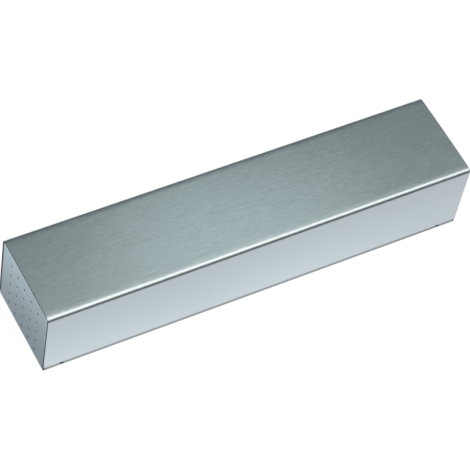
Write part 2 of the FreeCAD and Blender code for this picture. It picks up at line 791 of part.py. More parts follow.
def make_piston():
    skirt = "bore_radius - running_gap"
    body = turned("piston_blank", "X", [
        ("-guide_length", "relief_chamber"), ("-guide_length", "guide_radius - edge_chamfer"),
        ("edge_chamfer - guide_length", "guide_radius"), ("0", "guide_radius"),
        ("0", f"{skirt} - edge_chamfer"), ("edge_chamfer", skirt),
        ("piston_length - edge_chamfer", skirt), ("piston_length", f"{skirt} - edge_chamfer"),
        ("piston_length", "check_chamber"), ("check_seat", "check_chamber"),
        ("check_seat", "check_port"), ("window_end - window_gap / 2", "check_port"),
        ("window_end - window_gap / 2", "0"), ("left_head + window_gap / 2", "0"),
        ("left_head + window_gap / 2", "relief_port"), ("relief_seat", "relief_port"),
        ("relief_seat", "relief_chamber")])
    pocket(body, "window", "Y", "-bore_radius - 1", "bore_radius + 1", rack_corners())
    place(body, "piston_place", "0", "axis_height")
    return node(body, "piston")


def make_piston_balls():
    for label, ball in (("check_ball", "check"), ("relief_ball", "relief")):
        make_ball(label, f"{ball}_radius", f"piston_place + {ball}_ball", "0", "axis_height")


def make_check_ring():
    """The ring that keeps the check ball in its chamber."""
    body = turned("stop_ring", "X", [
        ("0", "check_port"), ("0", "check_chamber - running_gap"),
        ("check_stop", "check_chamber - running_gap"), ("check_stop", "check_port")])
    place(body, "piston_place + check_ring", "0", "axis_height")
    return node(body, "check_ring")


def make_relief_screw():
    """The hollow screw behind the relief valve's spring."""
    outer = "edge_chamfer - guide_length - relief_end"
    body = turned("hollow_screw", "X", [
        (outer, "relief_port / 2"), (outer, "relief_chamber - running_gap"),
        ("0", "relief_chamber - running_gap"), ("0", "relief_port / 2")])
    pocket(body, "hollow_screw_socket", "X", f"{outer} - 1", f"{outer} + screw_socket",
           hexagon("screw_key"))
    place(body, "piston_place + relief_end", "0", "axis_height")
    return node(body, "relief_screw")


# Springs: round wire wound about X. The first and last turns are close wound, and the path is
# a chain of arcs that meet with no corner.

def coil_point(turn, radius, start, end, turns, closed):
    """A point of the coil's centre line and its direction, at a number of turns."""
    open_pitch = (end - start - 2 * closed) / (turns - 2)
    if turn <= 1:
        along, pitch = start + closed * turn, closed
    elif turn >= turns - 1:
        along, pitch = end - closed * (turns - turn), closed
    else:
        along, pitch = start + closed + open_pitch * (turn - 1), open_pitch
    angle = 2 * math.pi * turn
    point = FreeCAD.Vector(along, radius * math.cos(angle), radius * math.sin(angle))
    lead = pitch / (2 * math.pi)
    return point, FreeCAD.Vector(lead, -radius * math.sin(angle), radius * math.cos(angle)).normalize()


def arc_between(start, control, end):
    """The arc from start to end whose end tangents meet at the control point."""
    chord = end - start
    middle = start + chord * 0.5
    lean = (control - start).getAngle(chord)
    crown = middle + (control - middle) * (math.tan(lean / 2) / math.tan(lean))
    return Part.Arc(start, crown, end).toShape()


def arc_pair(start, leaving, end, arriving):
    """Two arcs that join two points and keep the directions there."""
    span = end - start
    spread = 2 * (1 - leaving.dot(arriving))
    along = span.dot(leaving + arriving)
    reach = (math.sqrt(along * along + spread * span.dot(span)) - along) / spread
    first = start + leaving * reach
    second = end - arriving * reach
    joint = (first + second) * 0.5
    return [arc_between(start, first, joint), arc_between(joint, second, end)]


def make_coil(label, radius, wire, turns, length, closed, x):
    """A compression spring of a length along X, as one unbroken round wire."""
    marks = [coil_point(number / 4, radius, wire, length - wire, turns, closed)
             for number in range(round(4 * turns) + 1)]
    edges = []
    for (point, leaving), (following, arriving) in zip(marks[:-1], marks[1:]):
        edges += arc_pair(point, leaving, following, arriving)
    path = Part.Wire(edges)
    shell = Part.BRepOffsetAPI.MakePipeShell(path)
    shell.add(Part.Wire([Part.Circle(marks[0][0], marks[0][1], wire).toShape()]))
    shell.build()
    shell.makeSolid()
    coil = doc.addObject("Part::Feature", label)
    coil.Shape = shell.shape()
    place(coil, x, "0", "axis_height")
    expected = math.pi * wire * wire * path.Length
    print(f"{label}: volume {coil.Shape.Volume:.1f}, section times length {expected:.1f}, "
          f"least gap between turns {closed - 2 * wire:.2f}")
    return node(coil, label)


def make_main_spring():
    wire = value("wire_radius")
    return make_coil("main_spring", value("coil_radius"), wire, value("coil_turns"),
                     value("piston_place - spring_place"), 2 * wire + value("loose_gap"), "spring_place")


def make_relief_spring():
    wire = value("relief_wire")
    return make_coil("relief_spring", value("relief_radius - relief_wire"), wire, value("relief_turns"),
                     value("relief_length"), 2 * wire + value("ring_slack"), "piston_place + relief_end")


# Spring seat and adjuster: the screw turns in the left plug, held by its thrust collar, and
# walks the threaded seat along the bore to load the spring.

def make_spring_seat():
    body = turned("seat_disc", "X", [
        ("0", "rod_hole"), ("0", "bore_radius - loose_gap - edge_chamfer"),
        ("edge_chamfer", "bore_radius - loose_gap"), ("seat_thick", "bore_radius - loose_gap"),
        ("seat_thick", "guide_radius"), ("seat_thick + guide_length - edge_chamfer", "guide_radius"),
        ("seat_thick + guide_length", "guide_radius - edge_chamfer"),
        ("seat_thick + guide_length", "rod_hole")])
    place(body, "seat_place", "0", "axis_height")
    return node(body, "spring_seat")


def make_adjuster_screw():
    collar = "plug_length + thrust_thick"
    body = turned("adjuster_rod", "X", [
        ("0", "0"), ("0", "adjust_radius"), ("plug_length + thread_gap", "adjust_radius"),
        ("plug_length + thread_gap", "thrust_radius"), (collar, "thrust_radius"),
        (collar, "adjust_radius"), (f"{collar} + adjust_thread - edge_chamfer", "adjust_radius"),
        (f"{collar} + adjust_thread", "adjust_radius - edge_chamfer"),
        (f"{collar} + adjust_thread", "0")])
    pad(body, "adjuster_head", "X", "-adjust_head", "0", hexagon("adjust_key"))
    place(body, "-half_barrel", "0", "axis_height")
    return node(body, "adjuster_screw")


# Oil valves: slotted needle screws in the block's outer face, each over its own port, with a
# sealing ring round the stem.

PLACES["needle_end"] = "2 * gallery_rise - small_ring"
PLACES["stem_ring"] = "2 * gallery_rise + small_ring"
PLACES["stem_half"] = "small_ring + ring_slack / 4"
PLACES["stem_ring_radius"] = "valve_radius + thread_gap - small_ring - running_gap"
PLACES["stem_groove"] = "stem_ring_radius - small_ring"
PLACES["stem_top"] = "valve_depth - free_gap"


def make_valve(label, along):
    body = turned(label + "_stem", "Z", [
        ("-port_radius", "0"), ("free_gap", "port_radius"), ("needle_end", "port_radius"),
        ("needle_end", "valve_radius"), ("stem_ring - stem_half", "valve_radius"),
        ("stem_ring - stem_half", "stem_groove"), ("stem_ring + stem_half", "stem_groove"),
        ("stem_ring + stem_half", "valve_radius"), ("stem_top", "valve_radius"), ("stem_top", "0")])
    slot = rectangle("-valve_radius - 1", "valve_radius + 1", "-slot_width / 2", "slot_width / 2")
    pocket(body, label + "_slot", "Z", "stem_top - slot_depth", "stem_top + 1", slot)
    place(body, along, "-valve_across", "valve_floor")
    node(body, label)
    make_ring(label + "_seal", "stem_ring_radius", "small_ring", "Z",
              along, "-valve_across", "valve_floor + stem_ring")


# Cover channel: one folded sheet with two long bends. Its rim stands on the mounting plate,
# and a slot open to the rim passes over the spindle's collar.

def make_cover_channel():
    body = doc.addObject("PartDesign::Body", "channel")
    section = [
        ("-half_width", "plate_thick"), ("-half_width", "cover_top"),
        ("half_width", "cover_top"), ("half_width", "plate_thick"),
        ("half_width - cover_wall", "plate_thick"), ("half_width - cover_wall", "cover_top - cover_wall"),
        ("cover_wall - half_width", "cover_top - cover_wall"), ("cover_wall - half_width", "plate_thick")]
    pad(body, "channel_fold", "X", "-half_length", "half_length", section)
    round_edges(body, "outer_bends", "cover_bend",
                lambda edge: runs_along(edge, X_AXIS) and near(edge.CenterOfMass.z, "cover_top"))
    round_edges(body, "inner_bends", "cover_bend - cover_wall",
                lambda edge: runs_along(edge, X_AXIS)
                and near(edge.CenterOfMass.z, "cover_top - cover_wall")
                and near(abs(edge.CenterOfMass.y), "half_width - cover_wall"))
    slot_half = "(collar_radius + slot_gap)"
    slot = rectangle(f"pinion_place - {slot_half}", f"pinion_place + {slot_half}",
                     "plate_thick - 1", "axis_height")
    wall = ("half_width - cover_wall - 1", "half_width + 1")
    pocket(body, "collar_slot", "Y", *wall, slot)
    pocket(body, "collar_slot_top", "Y", *wall, ("pinion_place", "axis_height", slot_half))
    return node(body, "cover_channel")


# End pans: a shallow tray folded from sheet closes each end of the channel. Its outer face is
# flush with the channel's cut edges, a square of small vent holes is punched in it, and its
# web goes down past the end of the mounting plate.

PLACES["pan_half"] = "half_width - cover_wall - pan_gap"
PLACES["pan_top"] = "cover_top - cover_wall - pan_gap"
PLACES["pan_low"] = "plate_thick + free_gap"


def vent_circles():
    """The vent holes in a square of rows and columns."""
    count = range(round(value("vent_count")))
    return [(f"vent_centre + ({column} - (vent_count - 1) / 2) * vent_across",
             f"plate_thick + vent_low + {row} * vent_rise", "vent_hole / 2")
            for column in count for row in count]


def make_end_pan(label, side):
    body = doc.addObject("PartDesign::Body", label + "_pan")
    outer, inner = f"{side} * half_length", f"{side} * (half_length - pan_depth)"
    web = f"{side} * (half_length - pan_wall)"
    pad(body, label + "_tray", "X", inner, outer, rectangle("-pan_half", "pan_half", "pan_low", "pan_top"))
    round_edges(body, label + "_corners", "cover_bend - cover_wall",
                lambda edge: runs_along(edge, X_AXIS) and near(edge.CenterOfMass.z, "pan_top"))
    hollow = rectangle("pan_wall - pan_half", "pan_half - pan_wall", "pan_low - 1", "pan_top - pan_wall")
    pocket(body, label + "_hollow", "X", inner, web, hollow)
    round_edges(body, label + "_hollow_corners", "cover_bend - cover_wall - pan_wall / 2",
                lambda edge: runs_along(edge, X_AXIS) and near(edge.CenterOfMass.z, "pan_top - pan_wall"))
    round_edges(body, label + "_folds", "pan_wall",
                lambda edge: near(edge.BoundBox.XMin, outer) and near(edge.BoundBox.XMax, outer)
                and not near(edge.CenterOfMass.z, "pan_low"))
    skirt = rectangle("pan_wall - pan_half", "pan_half - pan_wall", "free_gap", "pan_low + pan_wall")
    pad(body, label + "_skirt", "X", web, outer, skirt)
    pocket(body, label + "_vents", "X", f"{side} * (half_length - pan_wall - 1)",
           f"{side} * (half_length + 1)", *vent_circles())
    return node(body, label)


make_mounting_plate()
make_plate_screws()
make_cover_clips()
make_closer_body()
make_gallery_ball()
make_slot_insert()
make_left_plug()
make_right_plug()
make_plug_seals()
make_pinion_spindle()
make_bearing("upper_bearing", 1)
make_bearing("lower_bearing", -1)
make_upper_cap()
make_lower_cap()
make_cap_seals()
make_spindle_seal()
make_piston()
make_piston_balls()
make_check_ring()
make_relief_spring()
make_relief_screw()
make_main_spring()
make_spring_seat()
make_adjuster_screw()
for number, label in enumerate(VALVES):
    make_valve(label, valve_along(number))
make_cover_channel()
make_end_pan("end_plate_left", -1)
make_end_pan("end_plate_right", 1)

doc.recompute()
for thing in doc.Objects:
    if "Invalid" in thing.State or "Error" in thing.State:
        raise RuntimeError(f"{thing.Name} failed: {thing.State}")
for thing in NODES:
    if thing.Shape.isNull() or not thing.Shape.isValid() or not thing.Shape.Solids:
        raise RuntimeError(thing.Label + " has no valid shape")

os.makedirs("parts", exist_ok=True)
for thing in NODES:
    thing.Shape.exportStep(f"parts/{thing.Label}.step")
print(len(NODES), "sub-parts written")
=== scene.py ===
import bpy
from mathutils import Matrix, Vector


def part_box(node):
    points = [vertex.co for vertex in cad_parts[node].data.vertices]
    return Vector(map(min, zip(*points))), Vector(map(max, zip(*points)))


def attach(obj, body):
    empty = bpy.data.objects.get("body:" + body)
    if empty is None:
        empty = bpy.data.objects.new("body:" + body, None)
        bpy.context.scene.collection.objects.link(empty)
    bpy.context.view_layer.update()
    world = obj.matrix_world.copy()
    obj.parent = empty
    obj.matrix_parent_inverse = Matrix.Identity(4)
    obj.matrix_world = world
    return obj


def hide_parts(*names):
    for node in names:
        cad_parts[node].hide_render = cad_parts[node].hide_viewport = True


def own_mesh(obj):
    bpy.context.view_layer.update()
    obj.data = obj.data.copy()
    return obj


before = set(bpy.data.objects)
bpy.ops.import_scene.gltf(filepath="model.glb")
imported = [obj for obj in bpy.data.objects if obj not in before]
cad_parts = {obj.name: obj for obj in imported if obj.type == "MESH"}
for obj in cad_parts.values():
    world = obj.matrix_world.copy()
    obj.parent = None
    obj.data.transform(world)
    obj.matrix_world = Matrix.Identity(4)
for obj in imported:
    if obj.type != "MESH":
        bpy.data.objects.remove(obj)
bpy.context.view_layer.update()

import math

import bpy
import numpy as np
from mathutils import Matrix, Vector

scene = bpy.context.scene
scene.view_settings.view_transform = "Standard"


# The studio's camera looks down on the perforated end, turned a little about its own axis.

CAMERA_PLACE = (-0.50778, -0.66478, 1.1448)
CAMERA_AZIMUTH = -37.3091
CAMERA_ELEVATION = 53.3366
CAMERA_ROLL = 11.9698
CAMERA_LENS = 176.637
SENSOR_WIDTH = 36.0
CLIP_END = 100.0

camera = bpy.data.objects.new("camera", bpy.data.cameras.new("camera"))
scene.collection.objects.link(camera)
scene.camera = camera
camera.data.lens = CAMERA_LENS
camera.data.sensor_width = SENSOR_WIDTH
camera.data.clip_end = CLIP_END
turn = Matrix.Rotation(math.radians(CAMERA_AZIMUTH), 4, "Z")
tilt = Matrix.Rotation(math.radians(90 - CAMERA_ELEVATION), 4, "X")
roll = Matrix.Rotation(math.radians(CAMERA_ROLL), 4, "Z")
camera.matrix_world = Matrix.Translation(CAMERA_PLACE) @ turn @ tilt @ roll


# The studio's lights: a broad soft disc above the front, a dim room round it, and a near
# softbox behind that the brushed face mirrors. A span is where the room's light changes, as a
# component of the direction.

DISC_LEAN = math.radians(21)
DISC_LIGHT, DISC_RIM = 0.37, (0.765, 0.825)
DISC_RIGHT_LIGHT, DISC_RIGHT_SPAN = 1.14, (-0.05, 0.20)
ROOM_LIGHT = 0.12
HIGH_LIGHT, HIGH_SPAN = 0.18, (0.30, 0.66)
SIDE_LIGHT, LEFT_SPAN, RIGHT_SPAN = 0.28, (-0.05, -0.35), (0.50, 0.66)
BELOW_LIGHT, BELOW_SPAN = 0.75, (-0.05, -0.40)
ROOM_TINT = (0.86, 1.0, 0.99, 1)
DISC_TINT = (1.05, 1.0, 0.96, 1)
MIX_FIRST, MIX_SECOND, MIX_RESULT = 6, 7, 2
SOFTBOX_PLACE = (0.175, 0.22, 0.508)
SOFTBOX_AIM = (0.0, 0.0, 0.05)
SOFTBOX_WIDTH, SOFTBOX_HEIGHT = 0.22, 0.16
SOFTBOX_RADIANCE = 0.55
SOFTBOX_COLOUR = (0.91, 1.0, 1.0)


def add_node(tree, kind, **settings):
    """A shader node with its settings and the values of its named inputs."""
    made = tree.nodes.new(kind)
    for name, setting in settings.items():
        if name in made.inputs:
            made.inputs[name].default_value = setting
        else:
            setattr(made, name, setting)
    return made


def add_math(tree, operation, first, second=0.0, third=0.0):
    """One arithmetic step, whose operands are numbers or outputs of other nodes."""
    made = add_node(tree, "ShaderNodeMath", operation=operation)
    for slot, operand in zip(made.inputs, (first, second, third)):
        if isinstance(operand, (int, float)):
            slot.default_value = operand
        else:
            tree.links.new(operand, slot)
    return made.outputs[0]


def add_shares(tree, level, *shares):
    """The level plus the sum of each share's mask times its amount."""
    for mask, amount in shares:
        level = add_math(tree, "MULTIPLY_ADD", mask, amount, level)
    return level


def smooth_rise(tree, amount, low, high):
    """0 at low, 1 at high, and a smooth step between them."""
    made = add_node(tree, "ShaderNodeMapRange", interpolation_type="SMOOTHSTEP")
    tree.links.new(amount, made.inputs["Value"])
    made.inputs["From Min"].default_value = low
    made.inputs["From Max"].default_value = high
    return made.outputs["Result"]


def split_place(tree, kind):
    """The components X, Y and Z of one kind of texture coordinates."""
    where = tree.nodes.new("ShaderNodeTexCoord")
    parts = tree.nodes.new("ShaderNodeSeparateXYZ")
    tree.links.new(where.outputs[kind], parts.inputs[0])
    return parts.outputs


def light_the_room():
    """The room's light by direction: dark low down and behind, mid grey high up and to both
    sides, and bright in a wide disc that leans to the front, most on its right half. Below
    the floor it is light, for the plate's back."""
    room = bpy.data.worlds.new("studio")
    room.use_nodes = True
    tree = room.node_tree
    shade = tree.nodes["Background"]
    parts = split_place(tree, "Generated")
    forward = add_math(tree, "MULTIPLY", parts["Y"], -math.sin(DISC_LEAN))
    toward = add_math(tree, "MULTIPLY_ADD", parts["Z"], math.cos(DISC_LEAN), forward)
    disc = smooth_rise(tree, toward, *DISC_RIM)
    disc_right = smooth_rise(tree, parts["X"], *DISC_RIGHT_SPAN)
    dim = add_shares(
        tree, ROOM_LIGHT, (smooth_rise(tree, toward, *HIGH_SPAN), HIGH_LIGHT),
        (smooth_rise(tree, parts["X"], *LEFT_SPAN), SIDE_LIGHT),
        (smooth_rise(tree, parts["X"], *RIGHT_SPAN), SIDE_LIGHT),
        (smooth_rise(tree, parts["Z"], *BELOW_SPAN), BELOW_LIGHT))
    disc_light = add_shares(tree, DISC_LIGHT, (disc_right, DISC_RIGHT_LIGHT))
    tree.links.new(add_shares(tree, dim, (disc, disc_light)), shade.inputs["Strength"])
    tint = add_node(tree, "ShaderNodeMix", data_type="RGBA")
    tint.inputs[MIX_FIRST].default_value = ROOM_TINT
    tint.inputs[MIX_SECOND].default_value = DISC_TINT
    tree.links.new(disc, tint.inputs["Factor"])
    tree.links.new(tint.outputs[MIX_RESULT], shade.inputs["Color"])
    scene.world = room


def hang_softbox():
    """A rectangular lamp of even radiance, which points at the closer."""
    lamp = bpy.data.lights.new("rear_softbox", "AREA")
    lamp.shape = "RECTANGLE"
    lamp.size = SOFTBOX_WIDTH
    lamp.size_y = SOFTBOX_HEIGHT
    lamp.energy = SOFTBOX_RADIANCE * math.pi * SOFTBOX_WIDTH * SOFTBOX_HEIGHT
    lamp.color = SOFTBOX_COLOUR
    holder = bpy.data.objects.new("rear_softbox", lamp)
    holder.location = SOFTBOX_PLACE
    aim = Vector(SOFTBOX_AIM) - Vector(SOFTBOX_PLACE)
    holder.rotation_euler = aim.to_track_quat("-Z", "Y").to_euler()
    holder.visible_camera = False
    scene.collection.objects.link(holder)


light_the_room()
hang_softbox()


# The studio's floor: a white sheet of paper under the closer, a hair above the plate's back so
# that the back shows from below. Mirrored in the steel it is a sheet that ends a little in
# front of the closer, and its light changes over these spans of X or Y.

FLOOR_SIZE = 40.0
FLOOR_HEIGHT = 0.00005
FLOOR_SHARE = 0.75
FLOOR_GLOW = 1.20
PAPER_TONE = 0.93
# The paper's tone under the plate: a painted shadow.
PAINTED_SHADOW_TONE = 0.08
UNDER_WIDTH, UNDER_LENGTH = (0.0303, 0.0307), (0.1408, 0.1412)
MIRRORED_COLOUR = (0.97, 0.972, 0.99, 1)
MIRRORED_SPANS = {
    "paper": ("Y", -0.115, -0.080),
    "near": ("Y", -0.065, -0.030),
    "right": ("X", 0.02, 0.16),
    "end": ("X", -0.138, -0.143),
    "past_end": ("X", -0.146, -0.180),
    "along_end": ("Y", -0.040, -0.030),
    "end_rear": ("Y", 0.0, 0.05),
    "behind": ("Y", 0.030, 0.036),
    "far_behind": ("Y", 0.09, 0.14)}
MIRRORED_LIGHT = 0.12
PAPER_LIGHT = 0.82
NEAR_LIGHT, NEAR_RIGHT_LIGHT = 0.18, -0.12
RIGHT_LIGHT = -0.04
END_LIGHT, PAST_END_LIGHT = -0.55, -1.04
END_REAR_LIGHT = 0.15
BEHIND_LIGHT = -0.75


def mirrored_light(tree, parts):
    """The strength of the paper's image in the steel, from the place on the floor: a painted
    reflection, brighter near the front wall, with painted shade beside the left end and behind.
    """
    mask = {name: smooth_rise(tree, parts[axis], low, high)
            for name, (axis, low, high) in MIRRORED_SPANS.items()}
    near_light = add_shares(tree, NEAR_LIGHT, (mask["right"], NEAR_RIGHT_LIGHT))
    end = add_math(tree, "MULTIPLY", mask["end"],
                   add_shares(tree, 1.0, (mask["past_end"], PAST_END_LIGHT)))
    behind = add_math(tree, "MULTIPLY", add_math(tree, "SUBTRACT", 1.0, mask["end"]),
                      add_math(tree, "SUBTRACT", mask["behind"], mask["far_behind"]))
    return add_shares(
        tree, MIRRORED_LIGHT, (mask["paper"], PAPER_LIGHT), (mask["near"], near_light),
        (mask["right"], RIGHT_LIGHT), (behind, BEHIND_LIGHT),
        (add_math(tree, "MULTIPLY", end, mask["along_end"]), END_LIGHT),
        (add_math(tree, "MULTIPLY", mask["end"], mask["end_rear"]), END_REAR_LIGHT))


def mix_shaders(tree, share, first, second):
    """The first shader, and the second one by its share."""
    made = tree.nodes.new("ShaderNodeMixShader")
    for slot, source in zip(made.inputs, (share, first, second)):
        tree.links.new(source, slot)
    return made.outputs[0]


def white_paper():
    """The floor's finish. For the camera most of it glows, which keeps a light shadow. Under the
    plate it is painted dark as a painted shadow, and rays that come off the steel meet its
    mirrored light."""
    paper = bpy.data.materials.new("white_paper")
    paper.use_nodes = True
    tree = paper.node_tree
    tree.nodes.remove(tree.nodes["Principled BSDF"])
    matt = tree.nodes.new("ShaderNodeBsdfDiffuse")
    glow = add_node(tree, "ShaderNodeEmission", Color=(1, 1, 1, 1), Strength=FLOOR_GLOW)
    mirrored = add_node(tree, "ShaderNodeEmission", Color=MIRRORED_COLOUR)
    parts = split_place(tree, "Object")
    tree.links.new(mirrored_light(tree, parts), mirrored.inputs["Strength"])
    across = add_math(tree, "ABSOLUTE", parts["Y"])
    lengthwise = add_math(tree, "ABSOLUTE", parts["X"])
    # Under the plate's footprint the paper is painted dark and does not glow: a painted shadow.
    outside = add_math(tree, "MAXIMUM", smooth_rise(tree, across, *UNDER_WIDTH),
                       smooth_rise(tree, lengthwise, *UNDER_LENGTH))
    tone = add_shares(tree, PAINTED_SHADOW_TONE, (outside, PAPER_TONE - PAINTED_SHADOW_TONE))
    grey = tree.nodes.new("ShaderNodeCombineColor")
    for channel in grey.inputs:
        tree.links.new(tone, channel)
    tree.links.new(grey.outputs[0], matt.inputs["Color"])
    path = tree.nodes.new("ShaderNodeLightPath").outputs
    seen = add_math(tree, "MAXIMUM", path["Is Camera Ray"], path["Is Transmission Ray"])
    seen = add_math(tree, "MULTIPLY", seen, outside)
    share = add_math(tree, "MULTIPLY", seen, FLOOR_SHARE)
    lit = mix_shaders(tree, share, matt.outputs[0], glow.outputs[0])
    both = mix_shaders(tree, path["Is Glossy Ray"], lit, mirrored.outputs[0])
    tree.links.new(both, tree.nodes["Material Output"].inputs["Surface"])
    return paper


reach = FLOOR_SIZE / 2
corners = [(-reach, -reach), (reach, -reach), (reach, reach), (-reach, reach)]
sheet = bpy.data.meshes.new("floor")
sheet.from_pydata([(*corner, FLOOR_HEIGHT) for corner in corners], [], [(0, 1, 2, 3)])
sheet.materials.append(white_paper())
floor = bpy.data.objects.new("floor", sheet)
scene.collection.objects.link(floor)


# The cover channel: one stainless sheet, 1 mm thick, folded over two long bends and brushed
# along its length. A slot open to the rim passes over the spindle's collar. The sheet is a
# little crowned, and it turns gently before each bend.

MERGE_DIGITS = 8
SHEET = 0.001
BEND, BEND_STEPS = 0.0026, 14
CROWN_ANGLE, CROWN_STEPS = math.radians(1.2), 6
EASE_ANGLE, EASE_STEPS = math.radians(8), 8
EASE_LENGTH = 0.0040
EDGE_ROUND, EDGE_STEPS = 0.0002, 4
END_ROUND = 0.8 * EDGE_ROUND
END_DEPTH = 0.0006
SLOT_RADIUS, SLOT_STEPS = 0.0132, 33
CUT_SLANT = 0.00005
EVEN_INSET, EVEN_STEPS = 0.004, 37
WALL_SHARES = np.array([0.0, 0.01, 0.25, 0.5, 0.75, 0.99])
COVER_SHARP = 55
OUTSIDE, INSIDE, CUT, TOP_CUT_SHADE = range(4)
BRUSH_LAYERS = ((0.0045, 0.00050), (0.016, 0.00060))
BRUSH_SHARES = (0.6, 0.4)
BRUSH_TWIST = 0.3
BRUSH_STREAK = 0.125
WALL_STREAK, TOP_STREAK, TOP_SPAN = 1.5, 4.5, (0.3, 0.95)
BRUSH_GRAIN, BRUSH_RELIEF = 0.03, 0.0001
BRUSH_ROUGH_SHARE = 0.3
BRUSH_SPREAD, BRUSH_TURN = 0.5, 0.25
PLAIN_DETAIL = 4.0
PLAIN_TONE = 4
PLAIN_RELIEF = 0.0002
PLAIN_ROUGH_SHARE = 0.8

cover_low, cover_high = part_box("cover_channel")
shaft_low, shaft_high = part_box("pinion_spindle")
shaft_x = (shaft_low.x + shaft_high.x) / 2
shaft_z = (shaft_low.z + shaft_high.z) / 2


def make_mesh(name, points, faces, finishes, sharp):
    """A closed mesh object: equal points become one, corners that coincide are dropped, and
    each face takes its finish. It is shaded smooth except at edges sharper than an angle."""
    points, index = np.unique(np.round(points.reshape(-1, 3), MERGE_DIGITS), axis=0,
                              return_inverse=True)
    faces = index.reshape(-1)[faces]
    repeated = faces == np.roll(faces, -1, axis=1)
    whole = ~repeated.any(axis=1)
    thin = repeated.sum(axis=1) == 1
    triangles = faces[thin][~repeated[thin]].reshape(-1, 3)
    mesh = bpy.data.meshes.new(name)
    mesh.from_pydata(points.tolist(), [], faces[whole].tolist() + triangles.tolist())
    order = np.concatenate([finishes[whole], finishes[thin]]).astype(np.int32)
    mesh.polygons.foreach_set("material_index", order)
    mesh.shade_smooth()
    mesh.set_sharp_from_angle(angle=math.radians(sharp))
    piece = bpy.data.objects.new(name, mesh)
    scene.collection.objects.link(piece)
    return piece


def grid_faces(rows, columns, around=False, start=0):
    """The four corners of each cell of a grid of points that is stored row by row."""
    last = columns if around else columns - 1
    row, column = np.meshgrid(np.arange(rows - 1), np.arange(last), indexing="ij")
    beside = (column + 1) % columns
    corners = [row * columns + column, row * columns + beside,
               (row + 1) * columns + beside, (row + 1) * columns + column]
    return np.stack(corners, axis=-1).reshape(-1, 4) + start


def rim_heights(along, has_slot):
    """The height of the wall's rim at each place along X. Over the slot it is the slot's round
    top, sqrt(r^2 - (x - x0)^2) above the spindle."""
    height = np.full_like(along, cover_low.z)
    if has_slot:
        across = np.abs(along - shaft_x)
        inside = across < SLOT_RADIUS + CUT_SLANT / 2
        height[inside] = shaft_z + np.sqrt(np.maximum(SLOT_RADIUS**2 - across[inside]**2, 0))
    return height


def half_profile():
    """Half of the top and one bend, as distance from the wall, drop below the top and tilt.
    The tilt grows evenly over the crown, as the square of the length over the ease, and evenly
    to 90 degrees round the bend. Distance and drop are the sums of its cosine and sine."""
    crown = CROWN_ANGLE * np.linspace(0, 1, CROWN_STEPS + 1)
    growth = np.linspace(0, 1, EASE_STEPS + 1)[1:] ** 2
    ease = CROWN_ANGLE + (EASE_ANGLE - CROWN_ANGLE) * growth
    arc = np.linspace(EASE_ANGLE, math.pi / 2, BEND_STEPS + 1)[1:]
    tilt = np.concatenate([crown, ease, arc])
    middle = (tilt[1:] + tilt[:-1]) / 2
    step = np.concatenate([np.ones(CROWN_STEPS), np.full(EASE_STEPS, EASE_LENGTH / EASE_STEPS),
                           BEND * np.diff(arc, prepend=EASE_ANGLE)])
    bent = np.sum(step[CROWN_STEPS:] * np.cos(middle[CROWN_STEPS:]))
    step[:CROWN_STEPS] = (cover_high.y - bent) / np.sum(np.cos(middle[:CROWN_STEPS]))
    out = np.concatenate([[0], np.cumsum(step * np.cos(middle))])
    drop = np.concatenate([[0], np.cumsum(step * np.sin(middle))])
    return out[-1] - out, drop, tilt


def cover_stations(swing):
    """The places along X at which the cover's section is drawn, and how much thinner each
    skin is there: close together round the ends and the slot, evenly apart between them."""
    inset = np.concatenate([END_ROUND * (1 - np.cos(swing)), [END_DEPTH]])
    pinch = np.concatenate([END_ROUND * (1 - np.sin(swing)), [0.0]])
    round_top = shaft_x + SLOT_RADIUS * np.sin(np.linspace(-math.pi / 2, math.pi / 2, SLOT_STEPS))
    slot_sides = [shaft_x - SLOT_RADIUS - CUT_SLANT, shaft_x + SLOT_RADIUS + CUT_SLANT]
    even = np.linspace(cover_low.x + EVEN_INSET, cover_high.x - EVEN_INSET, EVEN_STEPS)
    inner = np.unique(np.concatenate([round_top, slot_sides, even]))
    along = np.concatenate([cover_low.x + inset, inner, cover_high.x - inset[::-1]])
    return along, np.concatenate([pinch, np.zeros(len(inner)), pinch[::-1]])[:, None]


